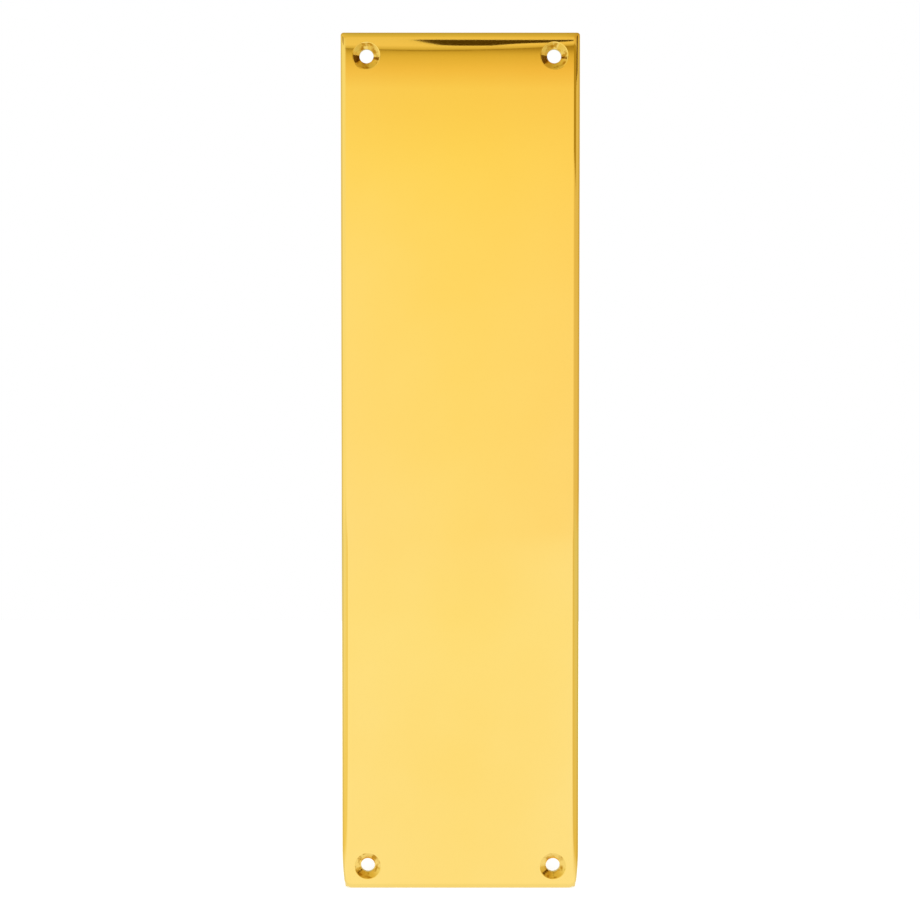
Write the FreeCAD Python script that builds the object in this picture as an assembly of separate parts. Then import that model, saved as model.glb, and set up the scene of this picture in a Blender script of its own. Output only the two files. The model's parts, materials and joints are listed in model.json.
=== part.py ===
"""Door finger plate, cast in brass as one piece, then ground, polished and drilled.

The plate stands upright as it is screwed to a door: +Z is up along its length, +X is to the right
across its width, its face looks along -Y, and its back lies in the plane y = 0. The origin is the
centre of the back, which is also the centre of the screw pattern. All sizes are in millimetres.
"""

import FreeCAD
import Part
import math
import os

# Outline and section
PLATE_LENGTH = 274.0
PLATE_WIDTH = 76.0
PLATE_THICKNESS = 3.5

# Rounding where the face turns into the edge, and at the corners of the outline
RIM_RADIUS = 1.75
CORNER_RADIUS = 0.9

# The buff crowns the face gently towards both ends and then rolls it off. Each run is measured from
# the end of the plate
END_CROWN_RUN = 18.0
END_CROWN_RADIUS = 320.0
END_ROLL_RUN = 5.2
END_ROLL_RADIUS = 25.0

# Screw holes and countersinks, with the metal left between a countersink and the plate's edges
SCREW_HOLE_DIAMETER = 4.5
COUNTERSINK_DIAMETER = 8.6
COUNTERSINK_ANGLE = 90.0
COUNTERSINK_LIP_RADIUS = 0.7
METAL_AT_SIDE = 3.9
METAL_AT_END = 3.2

# Relieved back: a shallow pocket inside a flat seat, with a pad left round each screw hole
RELIEF_DEPTH = 1.2
SEAT_WIDTH = 4.0
PAD_WALL = 3.5
POCKET_CORNER_RADIUS = 1.5
POCKET_STRAIGHT_WALL = 0.4

NODE = "finger_plate"
TOWARDS_FACE = FreeCAD.Vector(0, -1, 0)
TINY = 1e-6

half_width = PLATE_WIDTH / 2
half_length = PLATE_LENGTH / 2
crown_end_slope = (END_CROWN_RUN - END_ROLL_RUN) / END_CROWN_RADIUS
hole_radius = SCREW_HOLE_DIAMETER / 2
hole_x = half_width - METAL_AT_SIDE - COUNTERSINK_DIAMETER / 2
hole_z = half_length - METAL_AT_END - COUNTERSINK_DIAMETER / 2
countersink_slope = math.tan(math.radians(COUNTERSINK_ANGLE / 2))
countersink_depth = (COUNTERSINK_DIAMETER - SCREW_HOLE_DIAMETER) / 2 / countersink_slope


def runs_along_y(edge):
    """Whether an edge runs straight from front to back."""
    return isinstance(edge.Curve, Part.Line) and edge.Curve.Direction.cross(TOWARDS_FACE).Length < TINY


def edges_along_y(shape):
    """The edges that run from front to back, at the corners of an upright outline."""
    return [edge for edge in shape.Edges if runs_along_y(edge)]


def arc_drop(radius, start_slope, run):
    """How far an arc drops over a run. Its slope, as a sine, grows from the one that it starts with."""
    end_slope = start_slope + run / radius
    return radius * (math.sqrt(1 - start_slope**2) - math.sqrt(1 - end_slope**2))


def face_drop(from_end):
    """How far the face lies below its flat middle, at a distance from the end of the plate."""
    crown_run = max(END_CROWN_RUN - max(from_end, END_ROLL_RUN), 0)
    roll_run = max(END_ROLL_RUN - from_end, 0)
    crown = arc_drop(END_CROWN_RADIUS, 0, crown_run)
    return crown + arc_drop(END_ROLL_RADIUS, crown_end_slope, roll_run)


def side_profile():
    """The plate's section from top to bottom: a flat back, and a face that rolls off at both ends."""

    def face_point(end, from_end):
        return FreeCAD.Vector(0, face_drop(from_end) - PLATE_THICKNESS, end * (half_length - from_end))

    def face_arc(end, first, last):
        return Part.Arc(*[face_point(end, place) for place in (first, (first + last) / 2, last)]).toShape()

    back = [FreeCAD.Vector(0, 0, -half_length), FreeCAD.Vector(0, 0, half_length)]
    edges = [
        Part.makeLine(*back),
        Part.makeLine(back[1], face_point(1, 0)),
        face_arc(1, 0, END_ROLL_RUN),
        face_arc(1, END_ROLL_RUN, END_CROWN_RUN),
        Part.makeLine(face_point(1, END_CROWN_RUN), face_point(-1, END_CROWN_RUN)),
        face_arc(-1, END_CROWN_RUN, END_ROLL_RUN),
        face_arc(-1, END_ROLL_RUN, 0),
        Part.makeLine(face_point(-1, 0), back[0]),
    ]
    return Part.Wire(edges)


def front_rim_edges(blank):
    """The closed run of edges round the front, where the face meets the edges of the plate."""
    found = []
    for edge in blank.Edges:
        middle = edge.CenterOfMass
        at_outline = abs(middle.x) > half_width - TINY or abs(middle.z) > half_length - TINY
        if at_outline and middle.y < -TINY and not runs_along_y(edge):
            found.append(edge)
    return found


def round_together(shape, groups):
    """Rounds groups of edges in one step, each to its own radius, so that they blend where they meet."""
    document = FreeCAD.newDocument("rounding")
    sharp = document.addObject("Part::Feature", "sharp")
    sharp.Shape = shape
    rounded = document.addObject("Part::Fillet", "rounded")
    rounded.Base = sharp
    chosen = []
    for number, edge in enumerate(shape.Edges, start=1):
        for radius, edges in groups:
            if any(edge.isSame(other) for other in edges):
                chosen.append((number, radius, radius))
    rounded.Edges = chosen
    document.recompute()
    result = rounded.Shape.copy()
    FreeCAD.closeDocument(document.Name)
    return result


def plate_blank():
    """The solid plate with rolled ends, a rounded rim and soft corners, before relief and holes."""
    blank = Part.Face(side_profile()).extrude(FreeCAD.Vector(PLATE_WIDTH, 0, 0))
    blank.translate(FreeCAD.Vector(-half_width, 0, 0))
    rim = (RIM_RADIUS, front_rim_edges(blank))
    corners = (CORNER_RADIUS, edges_along_y(blank))
    return round_together(blank, [rim, corners])


def back_box(reach_x, reach_z):
    """A box as deep as the relief, let into the back and centred on it."""
    corner = FreeCAD.Vector(-reach_x, -RELIEF_DEPTH, -reach_z)
    return Part.makeBox(2 * reach_x, RELIEF_DEPTH, 2 * reach_z, corner)


def relief_pocket():
    """The hollow in the back: it stays inside the seat and clear of the pads in the corners."""
    pad_radius = hole_radius + PAD_WALL
    seat_x = half_width - SEAT_WIDTH
    seat_z = half_length - SEAT_WIDTH
    tall = back_box(hole_x - pad_radius, seat_z)
    wide = back_box(seat_x, hole_z - pad_radius)

    def round_corners(shape, radius, at_pads):
        chosen = []
        for edge in edges_along_y(shape):
            place = edge.CenterOfMass
            inside_seat = abs(place.x) < seat_x - TINY and abs(place.z) < seat_z - TINY
            if inside_seat == at_pads:
                chosen.append(edge)
        return shape.makeFillet(radius, chosen)

    pocket = tall.fuse(wide).removeSplitter()
    pocket = round_corners(pocket, pad_radius, at_pads=True)
    pocket = round_corners(pocket, POCKET_CORNER_RADIUS, at_pads=False)
    floor = [edge for edge in pocket.Edges if edge.BoundBox.YMax < -RELIEF_DEPTH / 2]
    return pocket.makeFillet(RELIEF_DEPTH - POCKET_STRAIGHT_WALL, floor)


def countersunk_hole(x, z):
    """The metal removed for one screw: a clearance hole and the cone that the screw's head fills."""
    cone_start = FreeCAD.Vector(x, countersink_depth - PLATE_THICKNESS, z)
    cone_height = countersink_depth + PLATE_THICKNESS
    mouth_radius = hole_radius + cone_height * countersink_slope
    cone = Part.makeCone(hole_radius, mouth_radius, cone_height, cone_start, TOWARDS_FACE)
    hole = Part.makeCylinder(hole_radius, PLATE_THICKNESS, FreeCAD.Vector(x, 0, z), TOWARDS_FACE)
    return hole.fuse(cone)


def countersink_lips(plate):
    """The edges where the countersinks break through the face."""
    halfway_down = countersink_depth / 2 - PLATE_THICKNESS
    cones = [face for face in plate.Faces if isinstance(face.Surface, Part.Cone)]
    rings = [edge for cone in cones for edge in cone.Edges if not isinstance(edge.Curve, Part.Line)]
    return [ring for ring in rings if ring.CenterOfMass.y < halfway_down]


def finger_plate():
    """The finished plate."""
    plate = plate_blank().cut(relief_pocket())
    for x in (-hole_x, hole_x):
        for z in (-hole_z, hole_z):
            plate = plate.cut(countersunk_hole(x, z))
    return plate.makeFillet(COUNTERSINK_LIP_RADIUS, countersink_lips(plate)).Solids[0]


os.makedirs("parts", exist_ok=True)
plate = finger_plate()
plate.exportStep(f"parts/{NODE}.step")
print(f"{NODE}: valid {plate.isValid()}, volume {plate.Volume:.1f} mm3")
print(f"screw pattern {2 * hole_x:g} by {2 * hole_z:g} mm")
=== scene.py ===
"""A polished brass door finger plate, with the finish of its face, rim, countersinks and back.

The plate stands as it hangs on a door: +Z is up along its length, its face looks along -Y, its back
lies in the plane y = 0, and the origin is the centre of the back. Lengths are in metres, so a size
in millimetres is written with MM.
"""

import json
import math

import bmesh
import bpy
from mathutils import Matrix, Vector


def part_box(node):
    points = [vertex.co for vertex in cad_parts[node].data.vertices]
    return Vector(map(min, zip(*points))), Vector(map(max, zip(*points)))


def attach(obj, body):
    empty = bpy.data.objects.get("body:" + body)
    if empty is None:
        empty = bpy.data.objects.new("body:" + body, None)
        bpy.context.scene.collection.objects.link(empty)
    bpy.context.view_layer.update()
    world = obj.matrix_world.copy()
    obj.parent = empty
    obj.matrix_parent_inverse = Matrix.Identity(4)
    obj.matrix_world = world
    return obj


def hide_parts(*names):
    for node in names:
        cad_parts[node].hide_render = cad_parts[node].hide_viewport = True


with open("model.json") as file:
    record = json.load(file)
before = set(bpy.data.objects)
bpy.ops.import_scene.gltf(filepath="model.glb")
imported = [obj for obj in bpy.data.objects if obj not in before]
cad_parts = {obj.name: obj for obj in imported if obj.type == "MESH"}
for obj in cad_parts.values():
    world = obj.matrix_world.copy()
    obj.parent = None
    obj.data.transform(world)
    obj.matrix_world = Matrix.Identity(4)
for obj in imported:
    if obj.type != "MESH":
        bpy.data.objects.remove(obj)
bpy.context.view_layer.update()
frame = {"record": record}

MM = 0.001

# The plate and its screw pattern, as the frame gives them
NODE = "finger_plate"
low_corner, high_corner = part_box(NODE)
WIDTH, THICKNESS, LENGTH = high_corner - low_corner
HALF_WIDTH = WIDTH / 2
HALF_LENGTH = LENGTH / 2
screw_pattern = next(mount["dims"] for mount in frame["record"]["mounts"] if mount["name"] == "screw_holes")
HOLE_X = screw_pattern["spacing_x_mm"] * MM / 2
HOLE_Z = screw_pattern["spacing_y_mm"] * MM / 2
HOLE_RADIUS = screw_pattern["hole_r_mm"] * MM

# Rounded rim and corners. The buff takes a little more off the long sides and the lower corners
RIM_RADIUS = 1.75 * MM
SIDE_RIM_RADIUS = 2.1 * MM
CORNER_RADIUS = 0.9 * MM
LOWER_CORNER_RADIUS = 2.5 * MM
BACK_EDGE_BREAK = 0.15 * MM

# The buff also draws the long sides in, just above the lower corners
LOWER_DRAW = 0.9 * MM
LOWER_DRAW_RUN = 12.0 * MM

# The buff crowns the face gently towards its ends and then rolls it off. Runs are measured from the
# end of the plate, and the line where the roll starts wanders a little across the width
CROWN_RUN = 18.0 * MM
CROWN_RADIUS = 320.0 * MM
ROLL_RUN = 4.7 * MM
ROLL_BOW = 1.3 * MM
ROLL_SLANT = 0.6 * MM
ROLL_DEPTH = 0.54 * MM

# Countersunk screw holes. The flank of the cone is in degrees from the hole's axis
COUNTERSINK_RADIUS = 4.3 * MM
COUNTERSINK_FLANK = 53.0
LIP_RADIUS = 0.7 * MM

# Relieved back: a shallow pocket inside a flat seat, with a pad left round each screw hole
RELIEF_DEPTH = 1.2 * MM
SEAT_WIDTH = 4.0 * MM
PAD_RADIUS = 5.75 * MM
POCKET_CORNER_RADIUS = 1.5 * MM
POCKET_FLOOR_RADIUS = 0.8 * MM

# How finely the curves are divided, and from how many degrees an edge is shown sharp
CORNER_SEGMENTS = 8
RIM_SEGMENTS = 14
CROWN_CUTS = 8
ROLL_CUTS = 14
WIDTH_CUTS = 16
HOLE_STEPS = 128
LIP_STEPS = 8
PAD_SEGMENTS = 16
FLOOR_SEGMENTS = 5
SHARP_ANGLE = 35.0

# How squarely a face looks forwards or back: less than this in a bore or on a cone, more on a flat
BORE_FACING = 0.1
CONE_FACING = 0.85
FLAT_FACING = 0.99

# The floor's reach before, behind and beside the plate
FLOOR_FRONT = 1.4
FLOOR_BEHIND = 1.7
FLOOR_SIDE = 1.5

# Painted reflections: dark glowing cards before the plate and at its sides, which only the brass shows.
# Their colours, and their corners in millimetres
PAINTED_REFLECTION_CARDS = {
    "upper_dark_card": ("4E3B08", [
        (-21, -300, 274), (-16, -300, 253), (-9, -300, 232), (-2, -300, 228), (14, -300, 226),
        (20, -300, 234), (27, -300, 241), (38, -300, 243), (48, -300, 253), (51, -300, 274),
    ]),
    "front_dark_card": ("B39637", [(120, -600, 148), (750, -600, 148), (750, -600, 300), (120, -600, 300)]),
    "right_dark_card": ("6A4A12", [(400, -290, 175), (400, -90, 175), (400, -90, 430), (400, -290, 430)]),
    "left_dark_card": ("96732A", [(-400, -200, 235), (-400, -60, 235), (-400, -60, 340), (-400, -200, 340)]),
    "high_dark_card": ("644406", [
        (1400, -1000, 345), (1400, -350, 345), (1400, -350, 1500), (1400, -1000, 1500),
    ]),
}

# Painted reflection: the room that only the brass shows, by degrees above the horizon: a warm wall in front,
# up to a painted dark line along its top, then the ceiling, and paler walls at the sides. The front wall
# turns into the side walls between two directions, given by their Y
PAINTED_FRONT_WALL = [
    (-20.0, "FFFBEF"), (90.0, "D4C360"), (-4.0, "FFFBEF"), (2.2, "FFF8D5"), (4.7, "FFF4B8"), (9.0, "F3D787"),
    (11.2, "DDC468"), (12.0, "8C6F08"), (13.4, "D3BE6A"), (18.0, "F3DE9C"),
]
PAINTED_SIDE_WALLS = [(-20.0, "FFFBEF"), (90.0, "C7BC73"), (8.0, "F8F4D2"), (35.0, "E6D080")]
FRONT_WALL_END = -0.95
SIDE_WALLS_START = -0.75

# Painted shade in what the brass shows of the room and of the floor, by bearings from the left to the right.
# On the floor they are taken from a centre behind the plate
PAINTED_ROOM_SIDES = [(-0.05, "FFFFFF"), (0.4, "E8D8AF"), (0.0, "FFFDEC"), (0.05, "FFF9EC")]
PAINTED_FLOOR_SIDES = [
    (-0.6, "F4F1DC"), (0.5, "E2DBB4"), (-0.13, "F3E6AC"), (-0.075, "FFFFFF"), (0.0, "FFFDF0"),
    (0.058, "FFFFFF"), (0.1, "E4D18E"),
]
FLOOR_SHADE_CENTRE = 0.75

# Painted shade in the floor as the brass shows it, by the distance before the plate, from its contact with
# the
# plate to its front: a painted contact shadow at the foot, then cream further off
CONTACT_REACH = 4.8 * MM
PAINTED_FLOOR_AHEAD = [(0.0, "EEECDC"), (FLOOR_FRONT, "FFFBEF"), (CONTACT_REACH, "FFFFFF"), (0.7, "FFFFF6")]

# Painted shade in what the brass shows behind the plate, which only its outermost edge shows from the front
BEHIND = [(0.0, "FFFFFF"), (0.3, "E6E0C8")]

# The even light of the room, and two lamps by their places and strengths. Their spread is in degrees
ROOM_LIGHT = 0.6
LAMPS = {"key_lamp": ((0, -1.3, 1.5), 1.6), "fill_lamp": ((0.9, 1.3, 1.4), 0.2)}
LAMP_SPREAD = 35.0

# The camera: its degrees above the plate's middle, its distance, and the width that it frames there. The
# sensor's width is in millimetres
CAMERA_ELEVATION = 2.67
CAMERA_DISTANCE = 0.75
CAMERA_AIM = (-0.1 * MM, 0, 1.14 * MM)
SENSOR_WIDTH = 36.0
FRAME_WIDTH = 295.0 * MM

# Cutters reach this far out of the metal, and places nearer than the second length are the same
SPARE = 1.0 * MM
TINY = 0.001 * MM

# A wave texture of scale 1 repeats after this length
WAVE_LENGTH = math.tau / 20


def linear(hex_colour):
    """The linear colour, with full alpha, of an sRGB hex value such as FFDA6E."""
    colour = []
    for start in (0, 2, 4):
        share = int(hex_colour[start:start + 2], 16) / 255
        colour.append(share / 12.92 if share <= 0.04045 else ((share + 0.055) / 1.055) ** 2.4)
    return colour + [1.0]


def add_node(tree, kind, values=(), links=(), stops=(), **settings):
    """Adds a node to a tree, with its settings, input values, links from other nodes and ramp stops."""
    node = tree.nodes.new(kind)
    for name, value in settings.items():
        setattr(node, name, value)
    for socket, value in dict(values).items():
        node.inputs[socket].default_value = value
    for socket, output in dict(links).items():
        tree.links.new(output, node.inputs[socket])
    for index, (place, colour) in enumerate(stops):
        elements = node.color_ramp.elements
        element = elements[index] if index < 2 else elements.new(place)
        element.position = place
        element.color = colour
    return node


def new_brass(name, roughness):
    """A brass material with its shader, and the object coordinates that its patterns follow."""
    material = bpy.data.materials.new(name)
    material.use_nodes = True
    tree = material.node_tree
    shader = tree.nodes["Principled BSDF"]
    shader.inputs["Metallic"].default_value = 1.0
    shader.inputs["Roughness"].default_value = roughness
    place = add_node(tree, "ShaderNodeTexCoord").outputs["Object"]
    return material, tree, shader, place


def polished_brass():
    """Cast yellow brass, buffed to a mirror and lacquered: a clear warm shine with a faint swell in it."""
    material, tree, shader, place = new_brass("polished_lacquered_brass", 0.055)
    shader.inputs["Coat Weight"].default_value = 0.5
    shader.inputs["Coat Roughness"].default_value = 0.04

    # Cloudy shade of the cast metal, about 40 mm across
    cloud = add_node(tree, "ShaderNodeTexNoise", {"Scale": 1 / (40 * MM), "Detail": 3.0}, {"Vector": place})
    shade = add_node(
        tree, "ShaderNodeValToRGB", links={"Fac": cloud.outputs["Fac"]},
        stops=[(0.35, linear("FFDD7A")), (0.65, linear("FFDF80"))],
    )
    tree.links.new(shade.outputs["Color"], shader.inputs["Base Color"])

    # Buffing hairlines along the plate: really about 0.05 mm wide, drawn coarser so that they show
    hairline_scale = (1 / (0.35 * MM), 1 / (0.35 * MM), 1 / (30 * MM))
    stretched = add_node(tree, "ShaderNodeMapping", {"Scale": hairline_scale}, {"Vector": place})
    hairlines = add_node(
        tree, "ShaderNodeTexNoise", {"Scale": 1.0, "Detail": 2.0}, {"Vector": stretched.outputs[0]},
    )
    rough = add_node(
        tree, "ShaderNodeMapRange",
        {"From Min": 0.3, "From Max": 0.7, "To Min": 0.045, "To Max": 0.065},
        {"Value": hairlines.outputs["Fac"]},
    )
    tree.links.new(rough.outputs[0], shader.inputs["Roughness"])

    # The swell that hand buffing leaves, about 25 mm from crest to crest and a few microns high
    swell = add_node(tree, "ShaderNodeTexNoise", {"Scale": 1 / (25 * MM), "Detail": 1.0}, {"Vector": place})
    relief = add_node(
        tree, "ShaderNodeBump", {"Strength": 1.0, "Distance": 0.004 * MM}, {"Height": swell.outputs["Fac"]},
    )
    tree.links.new(relief.outputs[0], shader.inputs["Normal"])
    return material


def machined_brass():
    """Brass cut by a countersink bit: bright, with fine rings and the dull patches that polish leaves."""
    material, tree, shader, place = new_brass("machined_brass", 0.12)
    patches = add_node(tree, "ShaderNodeTexNoise", {"Scale": 1 / (2 * MM), "Detail": 2.0}, {"Vector": place})
    shade = add_node(
        tree, "ShaderNodeValToRGB", links={"Fac": patches.outputs["Fac"]},
        stops=[(0.34, linear("C8952C")), (0.5, linear("F6D475"))],
    )
    tree.links.new(shade.outputs["Color"], shader.inputs["Base Color"])

    # The four holes share one pattern of rings, because the plate is the same in each quarter. They are
    # really about 0.1 mm apart, and drawn coarser so that they show
    ring_spacing = 0.6 * MM
    quarter = add_node(tree, "ShaderNodeVectorMath", links={0: place}, operation="ABSOLUTE")
    centred = add_node(
        tree, "ShaderNodeVectorMath", {1: (HOLE_X, 0, HOLE_Z)}, {0: quarter.outputs[0]}, operation="SUBTRACT",
    )
    rings = add_node(
        tree, "ShaderNodeTexWave", {"Scale": WAVE_LENGTH / ring_spacing, "Distortion": 0.6, "Detail": 1.0},
        {"Vector": centred.outputs[0]}, wave_type="RINGS", rings_direction="Y",
    )
    cut_marks = add_node(
        tree, "ShaderNodeBump", {"Strength": 1.0, "Distance": 0.003 * MM}, {"Height": rings.outputs["Fac"]},
    )
    tree.links.new(cut_marks.outputs[0], shader.inputs["Normal"])
    return material


def drilled_brass():
    """Brass left by the drill inside a hole: paler and duller than the rest, with the drill's feed marks."""
    material, tree, shader, place = new_brass("drilled_brass", 0.3)
    shader.inputs["Base Color"].default_value = linear("E8D79E")
    feed_spacing = 0.25 * MM
    feed = add_node(
        tree, "ShaderNodeTexWave", {"Scale": WAVE_LENGTH / feed_spacing, "Distortion": 0.4, "Detail": 1.0},
        {"Vector": place}, bands_direction="Y",
    )
    feed_marks = add_node(
        tree, "ShaderNodeBump", {"Strength": 1.0, "Distance": 0.006 * MM}, {"Height": feed.outputs["Fac"]},
    )
    tree.links.new(feed_marks.outputs[0], shader.inputs["Normal"])
    return material


def ground_brass():
    """Brass ground flat on a belt: dull, with straight scratches along the plate."""
    material, tree, shader, place = new_brass("belt_ground_brass", 0.38)
    shader.inputs["Base Color"].default_value = linear("EBC35C")
    scratch_scale = (1 / (0.25 * MM), 1 / (0.25 * MM), 1 / (14 * MM))
    stretched = add_node(tree, "ShaderNodeMapping", {"Scale": scratch_scale}, {"Vector": place})
    scratches = add_node(
        tree, "ShaderNodeTexNoise", {"Scale": 1.0, "Detail": 3.0}, {"Vector": stretched.outputs[0]},
    )
    relief = add_node(
        tree, "ShaderNodeBump", {"Strength": 1.0, "Distance": 0.02 * MM},
        {"Height": scratches.outputs["Fac"]},
    )
    tree.links.new(relief.outputs[0], shader.inputs["Normal"])
    return material


def cast_brass():
    """Brass left as it came from the sand: dull and browned, with the grain of the mould."""
    material, tree, shader, place = new_brass("sand_cast_brass", 0.5)
    tarnish = add_node(tree, "ShaderNodeTexNoise", {"Scale": 1 / (18 * MM), "Detail": 5.0}, {"Vector": place})
    shade = add_node(
        tree, "ShaderNodeValToRGB", links={"Fac": tarnish.outputs["Fac"]},
        stops=[(0.3, linear("B98A3A")), (0.7, linear("DDB257"))],
    )
    tree.links.new(shade.outputs["Color"], shader.inputs["Base Color"])
    sand = add_node(tree, "ShaderNodeTexNoise", {"Scale": 1 / (0.9 * MM), "Detail": 3.0}, {"Vector": place})
    relief = add_node(
        tree, "ShaderNodeBump", {"Strength": 1.0, "Distance": 0.12 * MM}, {"Height": sand.outputs["Fac"]},
    )
    tree.links.new(relief.outputs[0], shader.inputs["Normal"])
    return material


def face_drop(x, z):
    """How far the buffed face lies below the flat of the plate, at a place on it."""
    across = x / HALF_WIDTH
    roll_run = ROLL_RUN + ROLL_BOW * (1 - across**2) - ROLL_SLANT * across
    from_end = HALF_LENGTH - abs(z)
    crown = max(0.0, CROWN_RUN - from_end) ** 2 / (2 * CROWN_RADIUS)
    roll = ROLL_DEPTH * (max(0.0, roll_run - from_end) / roll_run) ** 2
    return crown + roll


def drawn_in(x, z):
    """How far the buff has drawn a place on the plate in from its side."""
    downwards = max(0.0, LOWER_DRAW_RUN - HALF_LENGTH - z) / LOWER_DRAW_RUN
    outwards = max(0.0, abs(x) - HALF_WIDTH + SEAT_WIDTH) / SEAT_WIDTH
    return math.copysign(LOWER_DRAW * outwards * downwards**2, x)


def face_normal(x, z):
    """The direction that the buffed face looks in, at a place on it."""
    step = 0.02 * MM
    slope_x = (face_drop(x + step, z) - face_drop(x - step, z)) / (2 * step)
    slope_z = (face_drop(x, z + step) - face_drop(x, z - step)) / (2 * step)
    return Vector((slope_x, -1.0, slope_z)).normalized()


def round_edges(mesh, edges, radius, segments):
    """Rounds edges of a bmesh to a radius."""
    bmesh.ops.bevel(
        mesh, geom=edges, offset=radius, offset_type="OFFSET", segments=segments, profile=0.5,
        affect="EDGES", material=-1, clamp_overlap=False,
    )


def runs_front_to_back(edge):
    """Whether an edge is parallel to Y."""
    first, second = (vert.co for vert in edge.verts)
    along = second - first
    return abs(along.y) > abs(along.x) + abs(along.z)


def cut_line(mesh, place, across):
    """Cuts a line round a bmesh where a plane meets it."""
    geometry = mesh.verts[:] + mesh.edges[:] + mesh.faces[:]
    bmesh.ops.bisect_plane(mesh, geom=geometry, dist=TINY, plane_co=place, plane_no=across)


def as_object(name, mesh):
    """Turns a bmesh into an object of the scene."""
    data = bpy.data.meshes.new(name)
    mesh.to_mesh(data)
    mesh.free()
    made = bpy.data.objects.new(name, data)
    bpy.context.scene.collection.objects.link(made)
    return made


def with_modifiers(made):
    """Takes an object out of the scene and gives its mesh, as its modifiers leave it."""
    finished = made.evaluated_get(bpy.context.evaluated_depsgraph_get())
    mesh = bmesh.new()
    mesh.from_mesh(finished.to_mesh())
    bpy.data.objects.remove(made)
    return mesh


def rounded_block():
    """A flat plate with its rim and its corners rounded and its back edge broken."""
    mesh = bmesh.new()
    bmesh.ops.create_cube(mesh, size=1.0)
    bmesh.ops.scale(mesh, vec=(WIDTH, THICKNESS, LENGTH), verts=mesh.verts)
    bmesh.ops.translate(mesh, vec=(0, -THICKNESS / 2, 0), verts=mesh.verts)
    share_of_largest = mesh.edges.layers.float.new("bevel_weight_edge")
    for edge in mesh.edges:
        first, second = (vert.co for vert in edge.verts)
        radius = BACK_EDGE_BREAK
        if runs_front_to_back(edge):
            radius = CORNER_RADIUS if first.z > 0 else LOWER_CORNER_RADIUS
        elif first.y < -TINY:
            radius = RIM_RADIUS if abs(first.z - second.z) < TINY else SIDE_RIM_RADIUS
        edge[share_of_largest] = radius / LOWER_CORNER_RADIUS
    block = as_object("block", mesh)
    rounding = block.modifiers.new("rounding", "BEVEL")
    rounding.limit_method = "WEIGHT"
    rounding.width = LOWER_CORNER_RADIUS
    rounding.segments = RIM_SEGMENTS
    rounding.use_clamp_overlap = False
    return with_modifiers(block)


def plate_blank():
    """The rounded plate, divided where its ends will be rolled off."""
    mesh = rounded_block()
    longest_roll = ROLL_RUN + ROLL_BOW + ROLL_SLANT
    spans = [(CROWN_RUN, longest_roll, CROWN_CUTS), (longest_roll, RIM_RADIUS, ROLL_CUTS)]
    lines = [first + (last - first) * step / cuts for first, last, cuts in spans for step in range(cuts)]
    for from_end in lines:
        for end in (-1, 1):
            cut_line(mesh, Vector((0, 0, end * (HALF_LENGTH - from_end))), Vector((0, 0, 1)))
    for step in range(1, WIDTH_CUTS):
        x = (2 * step / WIDTH_CUTS - 1) * HALF_WIDTH
        cut_line(mesh, Vector((x, 0, 0)), Vector((1, 0, 0)))
    return mesh


def add_hole_cutter(mesh, x, z):
    """Adds the metal that one screw hole removes: the hole, its cone and a softened lip."""
    flank = math.radians(COUNTERSINK_FLANK)
    lip_turn = math.radians(90) - flank
    lip_centre_radius = COUNTERSINK_RADIUS + LIP_RADIUS * math.tan(lip_turn / 2)
    lip_centre_depth = LIP_RADIUS - THICKNESS
    cone_foot_depth = (COUNTERSINK_RADIUS - HOLE_RADIUS) / math.tan(flank) - THICKNESS
    outline = [(0.0, SPARE), (HOLE_RADIUS, SPARE), (HOLE_RADIUS, cone_foot_depth)]
    for step in range(LIP_STEPS):
        turn = lip_turn * (1 - step / LIP_STEPS)
        outline.append((
            lip_centre_radius - LIP_RADIUS * math.sin(turn),
            lip_centre_depth - LIP_RADIUS * math.cos(turn),
        ))

    # After its last step the lip runs on straight, out of the metal
    last_turn = lip_turn / LIP_STEPS
    reach = 0.3 * MM
    radius, depth = outline[-1]
    outline.append((radius + reach * math.cos(last_turn), depth - reach * math.sin(last_turn)))
    outline.append((0.0, outline[-1][1]))
    verts = [mesh.verts.new((x + radius, depth, z)) for radius, depth in outline]
    edges = [mesh.edges.new(pair) for pair in zip(verts, verts[1:])]
    bmesh.ops.spin(
        mesh, geom=verts + edges, cent=(x, 0, z), axis=(0, 1, 0), angle=math.tau, steps=HOLE_STEPS,
        use_merge=True,
    )


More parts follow.
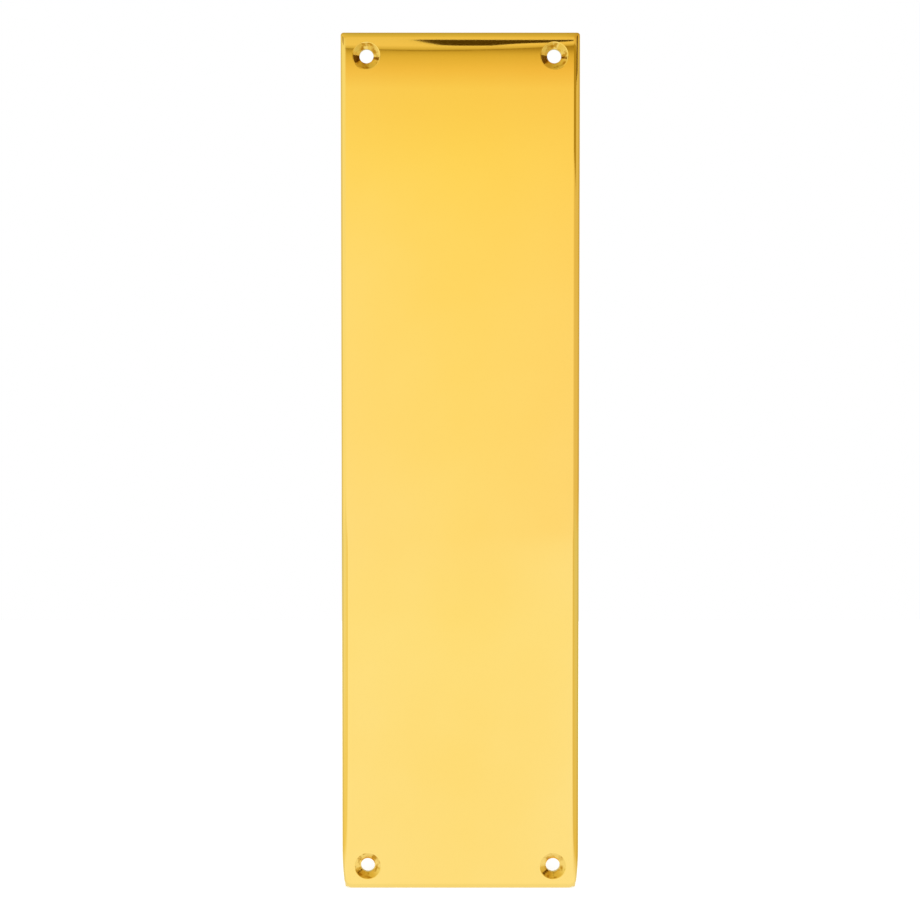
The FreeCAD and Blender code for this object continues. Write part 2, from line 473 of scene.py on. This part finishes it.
def add_relief_cutter(mesh):
    """Adds the metal that the relief of the back removes: a cross that leaves a pad in each corner."""
    seat_x = HALF_WIDTH - SEAT_WIDTH
    seat_z = HALF_LENGTH - SEAT_WIDTH
    pad_x = HOLE_X - PAD_RADIUS
    pad_z = HOLE_Z - PAD_RADIUS
    upright = Matrix.Rotation(math.radians(90), 4, "X")
    sheet = bmesh.ops.create_grid(mesh, x_segments=3, y_segments=3, size=1.0, matrix=upright)["verts"]

    # The sheet's outer lines move to the seat, and its inner ones, a third of the way out, to the pads
    midway = 0.5
    for vert in sheet:
        reach_x = seat_x if abs(vert.co.x) > midway else pad_x
        reach_z = seat_z if abs(vert.co.z) > midway else pad_z
        vert.co = Vector((math.copysign(reach_x, vert.co.x), SPARE, math.copysign(reach_z, vert.co.z)))

    def in_corner(face):
        centre = face.calc_center_median()
        return abs(centre.x) > pad_x and abs(centre.z) > pad_z

    cells = list(dict.fromkeys(face for vert in sheet for face in vert.link_faces))
    bmesh.ops.delete(mesh, geom=[cell for cell in cells if in_corner(cell)], context="FACES")
    cross = bmesh.ops.dissolve_faces(mesh, faces=[cell for cell in cells if cell.is_valid])["region"]
    moved = bmesh.ops.extrude_face_region(mesh, geom=cross)["geom"]
    pocket_floor = [item for item in moved if isinstance(item, bmesh.types.BMVert)]
    bmesh.ops.translate(mesh, vec=(0, -SPARE - RELIEF_DEPTH, 0), verts=pocket_floor)
    walls = [edge for vert in pocket_floor for edge in vert.link_edges if runs_front_to_back(edge)]

    def by_pad(edge):
        place = edge.verts[0].co
        return abs(place.x) < seat_x - TINY and abs(place.z) < seat_z - TINY

    at_pads = [edge for edge in walls if by_pad(edge)]
    at_seat = [edge for edge in walls if not by_pad(edge)]
    round_edges(mesh, at_pads, PAD_RADIUS, PAD_SEGMENTS)
    round_edges(mesh, at_seat, POCKET_CORNER_RADIUS, CORNER_SEGMENTS)

    def on_floor(edge):
        return all(abs(vert.co.y + RELIEF_DEPTH) < TINY for vert in edge.verts)

    round_edges(mesh, [edge for edge in mesh.edges if on_floor(edge)], POCKET_FLOOR_RADIUS, FLOOR_SEGMENTS)


def cut_plate():
    """The plate with its holes and relief cut, still flat at its ends."""
    blank = as_object("blank", plate_blank())
    cutter_mesh = bmesh.new()
    add_relief_cutter(cutter_mesh)
    for x in (-HOLE_X, HOLE_X):
        for z in (-HOLE_Z, HOLE_Z):
            add_hole_cutter(cutter_mesh, x, z)
    bmesh.ops.remove_doubles(cutter_mesh, verts=cutter_mesh.verts, dist=TINY)
    bmesh.ops.recalc_face_normals(cutter_mesh, faces=cutter_mesh.faces)
    cutter = as_object("cutter", cutter_mesh)
    cut = blank.modifiers.new("cut", "BOOLEAN")
    cut.operation = "DIFFERENCE"
    cut.solver = "EXACT"
    cut.object = cutter
    mesh = with_modifiers(blank)
    bpy.data.objects.remove(cutter)
    return mesh


FINISHES = (polished_brass, machined_brass, drilled_brass, ground_brass, cast_brass)
POLISHED, MACHINED, DRILLED, GROUND, CAST = range(len(FINISHES))


def finish_of(face):
    """Which finish a face of the plate has, from where it lies."""
    centre = face.calc_center_median()
    from_hole = math.hypot(abs(centre.x) - HOLE_X, abs(centre.z) - HOLE_Z)
    if from_hole < COUNTERSINK_RADIUS and abs(face.normal.y) < CONE_FACING:
        return DRILLED if abs(face.normal.y) < BORE_FACING else MACHINED
    if face.normal.y > FLAT_FACING and centre.y > -TINY:
        return GROUND
    inside_sides = abs(centre.x) < HALF_WIDTH - SEAT_WIDTH / 2
    inside_ends = abs(centre.z) < HALF_LENGTH - SEAT_WIDTH / 2
    if inside_sides and inside_ends and centre.y > -RELIEF_DEPTH - TINY:
        return CAST
    return POLISHED


def finger_plate():
    """The finished plate: cut, rolled off at its ends, and shaded by the true slope of its face."""
    mesh = cut_plate()
    mesh.normal_update()
    for face in mesh.faces:
        face.smooth = True
        face.material_index = finish_of(face)
    on_face = [abs(vert.co.y + THICKNESS) < TINY for vert in mesh.verts]
    for vert in mesh.verts:
        vert.co.y *= 1 - face_drop(vert.co.x, vert.co.z) / THICKNESS
        vert.co.x -= drawn_in(vert.co.x, vert.co.z)
    piece = as_object("brass_finger_plate", mesh)
    data = piece.data
    for make_finish in FINISHES:
        data.materials.append(make_finish())
    data.set_sharp_from_angle(angle=math.radians(SHARP_ANGLE))
    normals = [corner.vector.copy() for corner in data.corner_normals]
    for loop in data.loops:
        if on_face[loop.vertex_index]:
            place = data.vertices[loop.vertex_index].co
            normals[loop.index] = face_normal(place.x, place.z)
    data.normals_split_custom_set(normals)
    return piece


def shade_by(tree, value, colours):
    """The colour that a shade gives to a value. Its first two colours are those of its two ends."""
    (lowest, _), (highest, _) = colours[:2]
    share = add_node(tree, "ShaderNodeMapRange", {"From Min": lowest, "From Max": highest}, {"Value": value})
    shade = add_node(
        tree, "ShaderNodeValToRGB", links={"Fac": share.outputs[0]},
        stops=[((place - lowest) / (highest - lowest), linear(colour)) for place, colour in colours],
    )
    return shade.outputs["Color"]


def bare_material(name):
    """A material with no nodes yet, and its tree."""
    material = bpy.data.materials.new(name)
    material.use_nodes = True
    material.node_tree.nodes.clear()
    return material, material.node_tree


def floor():
    """A pale floor under the plate. In the brass it shows a painted reflection: a white sheet with a painted
    contact shadow at the plate's foot and painted shade across it, that turns to cream further off.
    """
    mesh = bmesh.new()
    bmesh.ops.create_grid(mesh, x_segments=1, y_segments=1, size=1.0)
    bmesh.ops.scale(mesh, vec=(FLOOR_SIDE, (FLOOR_FRONT + FLOOR_BEHIND) / 2, 1), verts=mesh.verts)
    shift = (0, (FLOOR_BEHIND - FLOOR_FRONT) / 2, -HALF_LENGTH)
    bmesh.ops.translate(mesh, vec=shift, verts=mesh.verts)
    sheet = as_object("floor", mesh)
    material, tree = bare_material("pale_floor")
    rays = add_node(tree, "ShaderNodeLightPath")
    place = add_node(tree, "ShaderNodeTexCoord").outputs["Object"]
    axes = add_node(tree, "ShaderNodeSeparateXYZ", links={0: place})
    ahead = add_node(tree, "ShaderNodeMath", {1: -1.0}, {0: axes.outputs["Y"]}, operation="MULTIPLY")
    off = add_node(
        tree, "ShaderNodeMath", {0: FLOOR_SHADE_CENTRE}, {1: axes.outputs["Y"]}, operation="SUBTRACT",
    )
    bearing = add_node(
        tree, "ShaderNodeMath", links={0: axes.outputs["X"], 1: off.outputs[0]}, operation="DIVIDE",
    )
    # Painted reflection: the floor as the brass shows it, with a painted contact shadow and painted shade by
    # bearing
    mirrored = add_node(
        tree, "ShaderNodeMix", {"Factor": 1.0},
        {
            6: shade_by(tree, ahead.outputs[0], PAINTED_FLOOR_AHEAD),
            7: shade_by(tree, bearing.outputs[0], PAINTED_FLOOR_SIDES),
        },
        data_type="RGBA", blend_type="MULTIPLY",
    )

    # To the camera the floor is just white where light falls on it, and darker in the plate's shadow
    lit = add_node(tree, "ShaderNodeBsdfDiffuse", {"Color": linear("F4F4F2")})
    glow = add_node(
        tree, "ShaderNodeEmission", {"Color": linear("B0B0B0")}, {"Strength": rays.outputs["Is Camera Ray"]},
    )
    seen = add_node(tree, "ShaderNodeAddShader", links={0: lit.outputs[0], 1: glow.outputs[0]})
    reflected = add_node(tree, "ShaderNodeEmission", links={"Color": mirrored.outputs[2]})
    surface = add_node(
        tree, "ShaderNodeMixShader",
        links={0: rays.outputs["Is Glossy Ray"], 1: seen.outputs[0], 2: reflected.outputs[0]},
    )
    add_node(tree, "ShaderNodeOutputMaterial", links={"Surface": surface.outputs[0]})
    sheet.data.materials.append(material)
    return sheet


def painted_reflection_card(name, colour, corners):
    """A dark glowing card near the plate that only the brass shows: a painted reflection that casts no
    shadow.
    """
    mesh = bmesh.new()
    mesh.faces.new([mesh.verts.new(Vector(corner) * MM) for corner in corners])
    card = as_object(name, mesh)
    material, tree = bare_material(name)
    shade = add_node(tree, "ShaderNodeEmission", {"Color": linear(colour)})
    add_node(tree, "ShaderNodeOutputMaterial", links={"Surface": shade.outputs[0]})
    card.data.materials.append(material)
    card.visible_camera = False
    card.visible_diffuse = False
    card.visible_shadow = False
    return card


def sky():
    """The studio round the plate: white to the camera, and in the brass a painted reflection of a warm room
    with a pale wall.
    """
    world = bpy.data.worlds.new("studio")
    bpy.context.scene.world = world
    world.use_nodes = True
    tree = world.node_tree
    tree.nodes.clear()
    rays = add_node(tree, "ShaderNodeLightPath")
    direction = add_node(tree, "ShaderNodeTexCoord").outputs["Generated"]
    axes = add_node(tree, "ShaderNodeSeparateXYZ", links={0: direction})
    height = add_node(tree, "ShaderNodeMath", links={0: axes.outputs["Z"]}, operation="ARCSINE")
    angle = add_node(tree, "ShaderNodeMath", links={0: height.outputs[0]}, operation="DEGREES")
    to_side = add_node(
        tree, "ShaderNodeMapRange", {"From Min": FRONT_WALL_END, "From Max": SIDE_WALLS_START},
        {"Value": axes.outputs["Y"]},
    )
    walls = add_node(
        tree, "ShaderNodeMix",
        links={
            0: to_side.outputs[0],
            6: shade_by(tree, angle.outputs[0], PAINTED_FRONT_WALL),
            7: shade_by(tree, angle.outputs[0], PAINTED_SIDE_WALLS),
        },
        data_type="RGBA",
    )
    shaded = add_node(
        tree, "ShaderNodeMix", {"Factor": 1.0},
        {6: walls.outputs[2], 7: shade_by(tree, axes.outputs["X"], PAINTED_ROOM_SIDES)},
        data_type="RGBA", blend_type="MULTIPLY",
    )
    room = add_node(
        tree, "ShaderNodeMix", {"Factor": 1.0},
        {6: shaded.outputs[2], 7: shade_by(tree, axes.outputs["Y"], BEHIND)},
        data_type="RGBA", blend_type="MULTIPLY",
    )
    # Painted reflection: glossy rays see the room's painted colours, and all other rays a plain white light
    reflected = add_node(tree, "ShaderNodeBackground", {"Strength": 1.0}, {"Color": room.outputs[2]})
    plain = add_node(tree, "ShaderNodeBackground", {"Color": linear("FFFFFF"), "Strength": ROOM_LIGHT})
    white = add_node(tree, "ShaderNodeBackground", {"Color": linear("FFFFFF"), "Strength": 1.0})
    lit = add_node(
        tree, "ShaderNodeMixShader",
        links={0: rays.outputs["Is Glossy Ray"], 1: plain.outputs[0], 2: reflected.outputs[0]},
    )
    shown = add_node(
        tree, "ShaderNodeMixShader",
        links={0: rays.outputs["Is Camera Ray"], 1: lit.outputs[0], 2: white.outputs[0]},
    )
    add_node(tree, "ShaderNodeOutputWorld", links={"Surface": shown.outputs[0]})


def soft_lamp(name, place, strength):
    """A broad, distant lamp that looks at the plate from a place, for the soft shadow on the floor."""
    data = bpy.data.lights.new(name, "SUN")
    data.angle = math.radians(LAMP_SPREAD)
    data.energy = strength
    lamp = bpy.data.objects.new(name, data)
    lamp.location = place
    lamp.rotation_mode = "QUATERNION"
    lamp.rotation_quaternion = (-Vector(place)).to_track_quat("-Z", "Y")
    lamp.visible_glossy = False
    bpy.context.scene.collection.objects.link(lamp)


def camera():
    """A camera straight before the plate and a little above it, far enough to show it with little taper."""
    data = bpy.data.cameras.new("camera")
    data.sensor_width = SENSOR_WIDTH
    data.lens = SENSOR_WIDTH * CAMERA_DISTANCE / FRAME_WIDTH
    data.clip_end = 2 * CAMERA_DISTANCE
    viewer = bpy.data.objects.new("camera", data)
    tilt = math.radians(CAMERA_ELEVATION)
    back = Vector((0, -math.cos(tilt), math.sin(tilt)))
    viewer.location = Vector(CAMERA_AIM) + back * CAMERA_DISTANCE
    viewer.rotation_mode = "QUATERNION"
    viewer.rotation_quaternion = (-back).to_track_quat("-Z", "Y")
    bpy.context.scene.collection.objects.link(viewer)
    bpy.context.scene.camera = viewer


plate = finger_plate()
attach(plate, "root")
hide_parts(NODE)
floor()
# Cards that put painted reflections into the brass
for card_name, (card_colour, card_corners) in PAINTED_REFLECTION_CARDS.items():
    painted_reflection_card(card_name, card_colour, card_corners)
sky()
for lamp_name, (lamp_place, lamp_strength) in LAMPS.items():
    soft_lamp(lamp_name, lamp_place, lamp_strength)
camera()
bpy.context.scene.view_settings.view_transform = "Standard"
